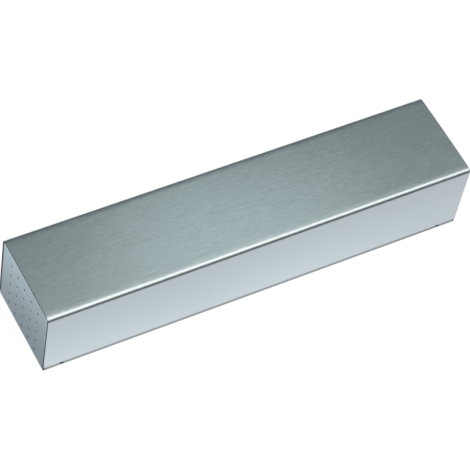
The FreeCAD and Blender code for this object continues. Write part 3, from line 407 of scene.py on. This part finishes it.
def fold_cover():
    """The cover as a closed solid: a chain of outer points runs from the front rim over the
    top to the back rim, the inner chain lies a sheet's thickness below it along the normal,
    and the pair is carried along X. At the cut edges both chains close in by a quarter circle."""
    swing = np.linspace(0, math.pi / 2, EDGE_STEPS)
    along, pinch = cover_stations(swing)
    away, drop, tilt = half_profile()
    shoulder = cover_high.z - drop[-1]
    middle_y = np.concatenate([cover_low.y + away[::-1], cover_high.y - away[1:]])
    middle_z = cover_high.z - np.concatenate([drop[::-1], drop[1:]])
    lean = np.concatenate([-tilt[::-1], tilt[1:]])

    chains = []
    for depth, sign in ((pinch, 1.0), (SHEET - pinch, -1.0)):
        parts_y = [middle_y - np.sin(lean) * depth]
        parts_z = [middle_z - np.cos(lean) * depth]
        radius = EDGE_ROUND - pinch
        centre = EDGE_ROUND if sign > 0 else SHEET - EDGE_ROUND
        for side, rim in ((-1, rim_heights(along, False)), (1, rim_heights(along, True))):
            wall = cover_low.y if side < 0 else cover_high.y
            low = rim[:, None] + EDGE_ROUND
            wall_z = low + WALL_SHARES * (shoulder - low)
            wall_y = np.broadcast_to(wall - side * depth, wall_z.shape)
            round_y = wall - side * (centre - sign * radius * np.cos(swing[1:]))
            round_z = low - radius * np.sin(swing[1:])
            if side < 0:
                parts_y = [round_y[:, ::-1], wall_y] + parts_y
                parts_z = [round_z[:, ::-1], wall_z] + parts_z
            else:
                parts_y = parts_y + [wall_y[:, ::-1], round_y]
                parts_z = parts_z + [wall_z[:, ::-1], round_z]
        chains.append((np.concatenate(parts_y, axis=1), np.concatenate(parts_z, axis=1)))

    stations, count = chains[0][0].shape
    loop_y, loop_z = (np.concatenate([outer, inner[:, ::-1]], axis=1)
                      for outer, inner in zip(*chains))
    loop_x = np.broadcast_to(along[:, None], loop_y.shape)
    points = np.stack([loop_x, loop_y, loop_z], axis=-1)
    faces = grid_faces(stations, 2 * count, around=True)[:, ::-1]
    kind = np.repeat([OUTSIDE, CUT, INSIDE, CUT], [count - 1, 1, count - 1, 1])
    kind = np.tile(kind, (stations - 1, 1))
    kind[:EDGE_STEPS - 1] = CUT
    kind[1 - EDGE_STEPS:] = CUT
    step = np.arange(count - 1)
    cap = np.stack([step, step + 1, 2 * count - 2 - step, 2 * count - 1 - step], axis=-1)
    # Cut ends above the shoulder take a lighter painted shade; the rest are painted near black.
    cap_kind = np.where(chains[0][1][len(along) // 2, :-1] > shoulder, TOP_CUT_SHADE, CUT)
    last = (stations - 1) * 2 * count
    faces = np.concatenate([faces, cap, cap[:, ::-1] + last])
    kind = np.concatenate([kind.ravel(), cap_kind, cap_kind])
    return make_mesh("cover_sheet", points, faces, kind, COVER_SHARP)


def new_finish(name, metallic):
    """A new finish of one even colour, and its node tree."""
    finish = bpy.data.materials.new(name)
    finish.use_nodes = True
    shader = finish.node_tree.nodes["Principled BSDF"]
    shader.inputs["Metallic"].default_value = metallic
    return finish, finish.node_tree


def vary_surface(tree, height, colour, tone, roughness, rough_share, grain, relief):
    """Noise about one half scales the colour by the tone and the roughness by its share, and
    stands out from the surface as a bump."""
    shader = tree.nodes["Principled BSDF"]
    centred = add_math(tree, "SUBTRACT", height, 0.5)
    tint = add_node(tree, "ShaderNodeVectorMath", operation="SCALE")
    tint.inputs[0].default_value = colour
    tree.links.new(add_shares(tree, 1.0, (centred, tone)), tint.inputs["Scale"])
    tree.links.new(tint.outputs[0], shader.inputs["Base Color"])
    rough = add_shares(tree, roughness, (centred, roughness * rough_share))
    tree.links.new(rough, shader.inputs["Roughness"])
    bump = add_node(tree, "ShaderNodeBump", Strength=grain, Distance=relief)
    tree.links.new(height, bump.inputs["Height"])
    tree.links.new(bump.outputs["Normal"], shader.inputs["Normal"])


def brushed_steel(name, colour, roughness):
    """Steel brushed along X: two sizes of long thin noise change its colour, most on the top,
    and its roughness, and tilt it a little. The highlight is drawn out across the brushing."""
    finish, tree = new_finish(name, 1.0)
    shader = tree.nodes["Principled BSDF"]
    shader.inputs["Anisotropic"].default_value = BRUSH_SPREAD
    shader.inputs["Anisotropic Rotation"].default_value = BRUSH_TURN
    where = tree.nodes.new("ShaderNodeTexCoord")
    height = 0.0
    for (length, width), share in zip(BRUSH_LAYERS, BRUSH_SHARES):
        stretch = add_node(tree, "ShaderNodeMapping", Scale=(1 / length, 1 / width, 1 / width))
        noise = add_node(tree, "ShaderNodeTexNoise", Scale=1.0, Detail=1.0,
                         Distortion=BRUSH_TWIST)
        tree.links.new(where.outputs["Object"], stretch.inputs["Vector"])
        tree.links.new(stretch.outputs["Vector"], noise.inputs["Vector"])
        height = add_shares(tree, height, (noise.outputs["Fac"], share))
    top = smooth_rise(tree, split_place(tree, "Normal")["Z"], *TOP_SPAN)
    tone = add_shares(tree, BRUSH_STREAK * WALL_STREAK, (top, BRUSH_STREAK * TOP_STREAK))
    vary_surface(tree, height, colour, tone, roughness, BRUSH_ROUGH_SHARE, BRUSH_GRAIN,
                 BRUSH_RELIEF)
    lie = add_node(tree, "ShaderNodeCombineXYZ", X=1.0, Y=0.0, Z=0.0)
    tree.links.new(lie.outputs[0], shader.inputs["Tangent"])
    return finish


def plain_metal(name, colour, roughness, mottle=0.06, grain=0.05, size=0.002, metallic=1.0):
    """Metal with no direction: soft noise changes its colour, roughness and normal a little."""
    finish, tree = new_finish(name, metallic)
    where = tree.nodes.new("ShaderNodeTexCoord")
    noise = add_node(tree, "ShaderNodeTexNoise", Scale=1 / size, Detail=PLAIN_DETAIL)
    tree.links.new(where.outputs["Object"], noise.inputs["Vector"])
    vary_surface(tree, noise.outputs["Fac"], colour, mottle * PLAIN_TONE, roughness,
                 PLAIN_ROUGH_SHARE, grain, PLAIN_RELIEF)
    return finish


cover_outside = brushed_steel("cover_brushed", (0.56, 0.635, 0.66), 0.30)
cover_inside = brushed_steel("cover_mill_finish", (0.42, 0.46, 0.47), 0.42)
# Cut edges are painted near black, as painted shade of the gaps along them.
cut_edge_painted_shade = plain_metal("cut_edge_painted_shade", (0.010, 0.012, 0.013), 0.45, size=0.0006)
# The top cut ends: a lighter painted shade than the other cut edges.
top_end_painted_shade = plain_metal("top_end_painted_shade", (0.09, 0.10, 0.10), 0.45, size=0.0006)
cover_sheet = fold_cover()
for finish in (cover_outside, cover_inside, cut_edge_painted_shade, top_end_painted_shade):
    cover_sheet.data.materials.append(finish)
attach(cover_sheet, "cover")
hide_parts("cover_channel")


# The end pans: a shallow tray pressed from thinner satin sheet closes each end. Its folds
# point inwards, its web goes down past the mounting plate, and a square of vent holes is
# punched in it from outside.

VENT_COUNT = 5
VENT_RADIUS = 0.00080
VENT_RINGS = np.array([1.0, 1.12, 1.3, 1.6, 2.1])
VENT_DIP, VENT_FADE = 0.00025, 0.35
VENT_ACROSS = 0.009
VENT_RISE = 0.0091
VENT_CENTRE_Y = 0.0005
VENT_LOW_Z = 0.0053
PAN_GAP = 0.00005
PAN_SET_BACK = 0.0001
PAN_FOLD, FOLD_STEPS = 0.001, 7
PAN_RING = PAN_FOLD + 0.0003
PAN_WEB = PAN_FOLD + 0.0015
PAN_SHEET = 0.0009
PAN_SHARP = 40
PAN_FACE, PAN_CUT = range(2)
FOLD_FOOT = 0.0033
SKIRT_SIDE = 0.0306
SKIRT_SHOULDER = 0.0027
SIDE_STEPS = 6
SIDE_POINTS = VENT_COUNT * SIDE_STEPS + 1
CORNER_POINTS = 3
TOUCHING = 1e-9

pan_low, pan_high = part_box("end_plate_left")
pan_side = cover_high.y - SHEET - PAN_GAP
pan_top = cover_high.z - SHEET - PAN_GAP
pan_depth = pan_high.x - pan_low.x


def vented_web(left, right, low, high):
    """The flat web as rectangular cells, one round each vent. In a cell the rings run from
    the hole out to the rectangle, and near the hole they dip as punched metal does, by
    exp(-(r / R - 1) / fade)."""
    centres_y = VENT_CENTRE_Y + (np.arange(VENT_COUNT) - (VENT_COUNT - 1) / 2) * VENT_ACROSS
    centres_z = VENT_LOW_Z + np.arange(VENT_COUNT) * VENT_RISE
    lines_y = np.concatenate([[left], (centres_y[1:] + centres_y[:-1]) / 2, [right]])
    lines_z = np.concatenate([[low], (centres_z[1:] + centres_z[:-1]) / 2, [high]])
    step = np.arange(SIDE_STEPS) / SIDE_STEPS
    square = np.concatenate([
        np.stack([step, 0 * step], -1), np.stack([1 + 0 * step, step], -1),
        np.stack([1 - step, 1 + 0 * step], -1), np.stack([0 * step, 1 - step], -1)])
    radii = VENT_RADIUS * VENT_RINGS
    dips = VENT_DIP * np.exp(-(VENT_RINGS - 1) / VENT_FADE)
    points, faces = [], []
    for cell in range(VENT_COUNT**2):
        row, column = divmod(cell, VENT_COUNT)
        centre = np.array([centres_y[column], centres_z[row]])
        low_corner = np.array([lines_y[column], lines_z[row]])
        span = np.array([lines_y[column + 1], lines_z[row + 1]]) - low_corner
        border = low_corner + square * span
        aim = border - centre
        aim /= np.linalg.norm(aim, axis=1, keepdims=True)
        rings = [np.column_stack([np.full(len(aim), dip), centre + aim * radius])
                 for radius, dip in zip(radii, dips)]
        rings.append(np.column_stack([np.zeros(len(aim)), border]))
        start = cell * len(rings) * len(aim)
        points += rings
        faces.append(grid_faces(len(rings), len(aim), around=True, start=start))
    return np.concatenate(points), np.concatenate(faces)


def pan_edge(inset, depth, lean):
    """The pan's outline from its foot at the left, over the top and down to the right, as
    points (depth, y, z), and their normals at a lean out of the end. It is the cover's own
    profile, moved in by the sheet, the gap and an inset."""
    away, drop, tilt = half_profile()
    reach = SHEET + PAN_GAP + inset
    flat = tilt <= EASE_ANGLE
    radius = BEND - reach
    rise = np.linspace(0, 1, SIDE_POINTS)
    bend = np.linspace(math.pi / 2, EASE_ANGLE, CORNER_POINTS + 2)[1:-1]
    shoulder = cover_high.z - drop[-1]
    flat_y = (2 * rise - 1) * (cover_high.y - BEND + radius * math.sin(EASE_ANGLE))
    inner_y = cover_high.y - away[flat] - np.sin(tilt[flat]) * reach
    inner_z = cover_high.z - drop[flat] - np.cos(tilt[flat]) * reach
    flat_z = np.interp(np.abs(flat_y), inner_y, inner_z)
    flat_tilt = np.interp(np.abs(flat_y), inner_y, tilt[flat]) * np.sign(flat_y)
    up = np.stack([np.full(SIDE_POINTS, reach - cover_high.y),
                   FOLD_FOOT + rise * (shoulder - FOLD_FOOT)], -1)
    arc = np.stack([BEND - cover_high.y - radius * np.sin(bend),
                    shoulder + radius * np.cos(bend)], -1)
    half = np.concatenate([up, arc])
    outline = np.concatenate([half, np.stack([flat_y, flat_z], -1), half[::-1] * (-1, 1)])
    half_face = np.concatenate([np.tile([-1.0, 0.0], (SIDE_POINTS, 1)),
                                np.stack([-np.sin(bend), np.cos(bend)], -1)])
    flat_face = np.stack([np.sin(flat_tilt), np.cos(flat_tilt)], -1)
    face = np.concatenate([half_face, flat_face, half_face[::-1] * (-1, 1)])
    points = np.column_stack([np.full(len(outline), depth), outline])
    normals = np.column_stack([np.full(len(face), -math.sin(lean)), face * math.cos(lean)])
    return points, normals


def pan_skin():
    """The pan's outer skin as points, normals and faces: the vented web, rings of the outline
    from the fold's free edge round the fold to the web's border, and a skirt below them. Equal
    points are one."""
    left, high = PAN_WEB - pan_side, pan_top - PAN_WEB
    web, web_faces = vented_web(left, -left, FOLD_FOOT, high)

    rings = [pan_edge(0, pan_depth, 0)]
    rings += [pan_edge(PAN_FOLD * (1 - math.cos(angle)), PAN_FOLD * (1 - math.sin(angle)), angle)
              for angle in np.linspace(0, math.pi / 2, FOLD_STEPS)]
    rings.append(pan_edge(PAN_RING, 0, math.pi / 2))
    lines_y = np.unique(np.round(web[np.abs(web[:, 2] - high) < TOUCHING][:, 1], 9))
    lines_z = np.unique(np.round(web[np.abs(web[:, 1] - left) < TOUCHING][:, 2], 9))
    up = np.stack([np.full(len(lines_z), left), lines_z], -1)
    across = np.stack([lines_y, np.full(len(lines_y), high)], -1)
    half = np.concatenate([up, np.repeat([[left, high]], CORNER_POINTS, axis=0)])
    inner = np.concatenate([half, across, half[::-1] * (-1, 1)])
    border = np.column_stack([np.zeros(len(inner)), inner])
    outline = np.array([ring[0] for ring in rings] + [border])
    facing = np.array([ring[1] for ring in rings] + [np.tile([-1.0, 0.0, 0.0], (len(inner), 1))])

    foot_y = np.concatenate([[PAN_FOLD - pan_side, PAN_RING - pan_side], lines_y])
    foot_y = np.tile(np.concatenate([foot_y, -foot_y[1::-1]]), (3, 1))
    foot_y[:2, [0, -1]] = -SKIRT_SIDE, SKIRT_SIDE
    skirt_z = np.array([pan_low.z, SKIRT_SHOULDER, FOLD_FOOT])[:, None].repeat(foot_y.shape[1], 1)
    skirt = np.stack([0 * foot_y, foot_y, skirt_z], axis=-1)

    fold_faces = grid_faces(*outline.shape[:2], start=len(web))[:, ::-1]
    skirt_faces = grid_faces(*skirt.shape[:2], start=len(web) + outline.size // 3)
    faces = np.concatenate([web_faces[:, ::-1], fold_faces, skirt_faces])
    points = np.concatenate([web, outline.reshape(-1, 3), skirt.reshape(-1, 3)])
    flat = np.array([[-1.0, 0.0, 0.0]])
    normals = np.concatenate([flat.repeat(len(web), 0), facing.reshape(-1, 3),
                              flat.repeat(skirt.size // 3, 0)])
    _, first, index = np.unique(np.round(points, MERGE_DIGITS), axis=0, return_index=True,
                                return_inverse=True)
    return points[first], normals[first], index.reshape(-1)[faces]


def press_pan(name, side):
    """An end pan: the inner skin lies a sheet's thickness behind the outer one, and strips
    close every edge that only one face has."""
    points, normals, faces = pan_skin()
    count = len(points)
    edges = np.concatenate([faces[:, [corner, (corner + 1) % 4]] for corner in range(4)])
    edges = edges[edges[:, 0] != edges[:, 1]]
    code = np.sort(edges, axis=1) @ np.array([count, 1])
    kinds, times = np.unique(code, return_counts=True)
    open_edges = edges[np.isin(code, kinds[times == 1])]
    rim = np.column_stack([open_edges[:, ::-1], open_edges + count])
    all_points = np.concatenate([points, points - normals * PAN_SHEET])
    all_faces = np.concatenate([faces, faces[:, ::-1] + count, rim])
    kind = np.repeat([PAN_FACE, PAN_CUT], [2 * len(faces), len(rim)])
    end = cover_high.x if side > 0 else cover_low.x
    all_points[:, 0] = end - side * (all_points[:, 0] + PAN_SET_BACK)
    if side < 0:
        all_faces = all_faces[:, ::-1]
    return make_mesh(name, all_points, all_faces, kind, PAN_SHARP)


# The pans' satin steel is painted darker and bluer than the cover's: painted shade on the ends.
pan_steel_painted_shade = plain_metal("pan_satin_painted_shade", (0.33, 0.436, 0.475), 0.30, mottle=0.08, grain=0.06,
                        size=0.0012)
for name, node, side in (("end_pan_left", "end_plate_left", -1),
                         ("end_pan_right", "end_plate_right", 1)):
    pan = press_pan(name, side)
    pan.data.materials.append(pan_steel_painted_shade)
    pan.data.materials.append(cut_edge_painted_shade)
    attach(pan, "cover")
    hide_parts(node)


# The closing spring, round oil-tempered wire with close first and last turns. It stands on its
# seat and the piston pushes its other end. Both ends move, so it is two pieces that meet in
# one turn: one moves with the seat, the other with the piston.

SPRING_RADIUS = 0.0145
SPRING_WIRE = 0.00275
SPRING_TURNS = 10.5
SPRING_CLOSED = 0.0060
SPRING_PARTING = 0.000025
PISTON_TRAVEL = 0.028274
SEAT_TRAVEL = 0.016
TURN_STEPS = 48
WIRE_STEPS = 24
TRUE_END_SIZES, TRUE_END_PUSHES = [0.0, 0.75, 0.94], [-0.3, -0.2, -0.1]
PARTED_END_SIZES, PARTED_END_PUSHES = [0.0, 1.0, 1.0], [0.0, 0.0, 0.0]
SPRING_SHARP = 60

spring_low, spring_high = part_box("main_spring")


def wind_spring(name, start, end, radius, wire, turns, closed, first=0.0, last=None):
    """A spring along X, or its part between two turns. The centre line is (x(t), r cos 2 pi t,
    r sin 2 pi t), where x grows by the closed pitch in the first and last turn and evenly
    between. A circle of the wire in the plane through the axis is carried along it. A true
    end shrinks to a point over its last millimetres, and a parted one is flat."""
    last = turns if last is None else last
    turn = np.linspace(first, last, round((last - first) * TURN_STEPS) + 1)
    low, high = start + wire, end - wire
    along = np.interp(turn, [0, 1, turns - 1, turns], [low, low + closed, high - closed, high])
    sizes, pushes = [], []
    for true_end in (first == 0.0, last == turns):
        sizes.append(TRUE_END_SIZES if true_end else PARTED_END_SIZES)
        pushes.append(TRUE_END_PUSHES if true_end else PARTED_END_PUSHES)
    size = np.concatenate([sizes[0], np.ones(len(turn)), sizes[1][::-1]])
    push = np.concatenate([pushes[0], np.zeros(len(turn)), -np.array(pushes[1][::-1])])
    extra = len(sizes[0])
    turn = np.concatenate([turn[:1].repeat(extra), turn, turn[-1:].repeat(extra)])
    along = np.concatenate([along[:1].repeat(extra), along, along[-1:].repeat(extra)])

    angle = 2 * math.pi * turn
    outward = np.stack([0 * angle, np.cos(angle), np.sin(angle)], -1)
    around = np.stack([0 * angle, -np.sin(angle), np.cos(angle)], -1)
    lengthwise = np.array([1.0, 0.0, 0.0])
    centre = outward * radius + around * (push * wire)[:, None]
    centre += np.stack([along, 0 * along, 0 * along + shaft_z], -1)
    swing = np.linspace(0, 2 * math.pi, WIRE_STEPS, endpoint=False)[:, None]
    circle = outward[:, None] * np.cos(swing) + lengthwise * np.sin(swing)
    points = centre[:, None] + circle * (wire * size)[:, None, None]
    faces = grid_faces(len(turn), WIRE_STEPS, around=True)[:, ::-1]
    return make_mesh(name, points, faces, np.zeros(len(faces)), SPRING_SHARP)


spring_steel = plain_metal("spring_wire", (0.20, 0.205, 0.22), 0.34, mottle=0.10, grain=0.2,
                           size=0.0012)
spring_length = spring_high.x - spring_low.x
seat_length = spring_length * PISTON_TRAVEL / (PISTON_TRAVEL + SEAT_TRAVEL)
piston_length = spring_length - seat_length
free_pitch = (spring_length - 2 * SPRING_WIRE - 2 * SPRING_CLOSED) / (SPRING_TURNS - 2)
parting = 1 + (seat_length - SPRING_WIRE - SPRING_CLOSED) / free_pitch
hair = SPRING_PARTING / (2 * math.pi * SPRING_RADIUS)
for name, body, first, last, joint, anchor_x, keep in (
        ("closing_coil_left", "seat", 0.0, parting - hair, "piston_slide", spring_low.x,
         1 - PISTON_TRAVEL / seat_length),
        ("closing_coil_right", "piston_group", parting + hair, SPRING_TURNS, "spring_seat_slide",
         spring_high.x, 1 - SEAT_TRAVEL / piston_length)):
    coil = wind_spring(name, spring_low.x, spring_high.x, SPRING_RADIUS, SPRING_WIRE,
                       SPRING_TURNS, SPRING_CLOSED, first, last)
    coil.data.materials.append(spring_steel)
    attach(coil, body)
    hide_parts("main_spring")
    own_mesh(coil)


# The relief valve's small spring of the same wire, which sits in the piston's head between its
# hollow screw and its ball.

RELIEF_RADIUS = 0.0016
RELIEF_WIRE = 0.0004
RELIEF_TURNS = 5.0
RELIEF_CLOSED = 0.0012

relief_low, relief_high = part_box("relief_spring")
relief_coil = wind_spring("relief_coil", relief_low.x, relief_high.x, RELIEF_RADIUS, RELIEF_WIRE,
                          RELIEF_TURNS, RELIEF_CLOSED)
relief_coil.data.materials.append(spring_steel)
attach(relief_coil, "piston_group")
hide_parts("relief_spring")
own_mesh(relief_coil)


# The mounting plate, its countersunk screws and the spring clips on its lugs: zinc-plated
# steel, sheared from 3 mm sheet, and blued spring steel that grips the cover's walls.

def dress(finish, *names):
    """Gives solids of the frame one finish."""
    for name in names:
        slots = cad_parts[name].data.materials
        slots.clear()
        slots.append(finish)


# The plate is darker than bare zinc: zinc plating, and partly painted shade under the cover's
# rim.
dress(plain_metal("zinc_plate", (0.30, 0.325, 0.335), 0.40, mottle=0.08, grain=0.08),
      "mounting_plate")
dress(plain_metal("zinc_screws", (0.62, 0.62, 0.60), 0.28), "plate_screws")
dress(plain_metal("clip_steel", (0.20, 0.21, 0.24), 0.30), "cover_clips")


# The closer's body: an aluminium die casting, shot-blasted and lacquered silver, with the ball
# that closes its drilled gallery.

dress(plain_metal("cast_body", (0.56, 0.57, 0.575), 0.48, mottle=0.05, grain=0.35, size=0.0007,
                  metallic=0.35), "closer_body")
dress(plain_metal("gallery_ball", (0.70, 0.70, 0.71), 0.20), "gallery_ball")


# The tongue that fills the cover's slot below the collar: moulded grey plastic with a fine
# eroded grain.

dress(plain_metal("grey_plastic", (0.05, 0.053, 0.057), 0.50, mottle=0.03, grain=0.30,
                  size=0.0005, metallic=0.0), "slot_insert")


# The end plugs and the caps of the spindle's housing: turned from steel bar and screwed into
# the casting, each with fine rings from the lathe.

RING_PITCH = 0.00035
RING_GRAIN, RING_RELIEF = 0.25, 0.00003


def turned_metal(name, colour, roughness, axis, centre):
    """Turned metal: fine rings whose height is one-dimensional noise of the distance from the
    lathe's axis, the square root of the sum of the squares of the other two coordinates."""
    finish = plain_metal(name, colour, roughness, mottle=0.02, grain=0.01)
    tree = finish.node_tree
    parts = split_place(tree, "Object")
    total = 0.0
    for letter, place in zip("XYZ", centre):
        if letter != axis:
            away = add_math(tree, "SUBTRACT", parts[letter], place)
            total = add_shares(tree, total, (away, away))
    rings = add_node(tree, "ShaderNodeTexNoise", noise_dimensions="1D", Scale=1 / RING_PITCH,
                     Detail=1.0)
    tree.links.new(add_math(tree, "SQRT", total), rings.inputs["W"])
    bump = add_node(tree, "ShaderNodeBump", Strength=RING_GRAIN, Distance=RING_RELIEF)
    tree.links.new(rings.outputs["Fac"], bump.inputs["Height"])
    tree.links.new(tree.nodes["Bump"].outputs["Normal"], bump.inputs["Normal"])
    tree.links.new(bump.outputs["Normal"], tree.nodes["Principled BSDF"].inputs["Normal"])
    return finish


bore_axis = (0, 0, shaft_z)
spindle_axis = (shaft_x, 0, shaft_z)
dress(turned_metal("turned_plug", (0.56, 0.56, 0.54), 0.28, "X", bore_axis),
      "left_plug", "right_plug")
dress(turned_metal("turned_cap", (0.56, 0.56, 0.54), 0.28, "Y", spindle_axis),
      "upper_cap", "lower_cap")


# The sealing rings of the plugs, the caps, the adjuster and the valves, and the spindle's lip
# seal: moulded black rubber, each in its groove.

dress(plain_metal("seal_rubber", (0.02, 0.02, 0.02), 0.55, mottle=0.03, grain=0.15, size=0.0005,
                  metallic=0.0),
      "left_plug_seal", "right_plug_seal", "adjuster_seal", "upper_cap_seal", "lower_cap_seal",
      "spindle_seal", "latching_valve_seal", "closing_valve_seal", "backcheck_valve_seal")


# The spindle, milled and ground from hardened steel with its pinion and its square, and the
# two sintered bronze bushes that it turns in.

dress(turned_metal("spindle_steel", (0.50, 0.50, 0.51), 0.26, "Y", spindle_axis),
      "pinion_spindle")
dress(plain_metal("bearing_bronze", (0.60, 0.40, 0.22), 0.35, mottle=0.10, grain=0.10,
                  size=0.0005), "upper_bearing", "lower_bearing")


# The piston with its rack, ground all round, and what sits in its head: the check ball under
# its ring, and the relief ball with its hollow screw.

dress(turned_metal("piston_steel", (0.52, 0.53, 0.54), 0.24, "X", bore_axis),
      "piston", "check_ring", "relief_screw")
dress(plain_metal("ball_steel", (0.80, 0.80, 0.82), 0.08, mottle=0.01, grain=0.0),
      "check_ball", "relief_ball")


# The spring's seat and the adjusting screw that walks it along the bore: turned steel.

dress(turned_metal("seat_steel", (0.54, 0.54, 0.53), 0.30, "X", bore_axis),
      "spring_seat", "adjuster_screw")


# The three oil valves: brass screws, turned and slotted, one axis each.

for name in ("latching_valve", "closing_valve", "backcheck_valve"):
    valve_low, valve_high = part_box(name)
    valve_axis = ((valve_low.x + valve_high.x) / 2, (valve_low.y + valve_high.y) / 2, 0)
    dress(turned_metal(name + "_brass", (0.70, 0.55, 0.26), 0.26, "Z", valve_axis), name)
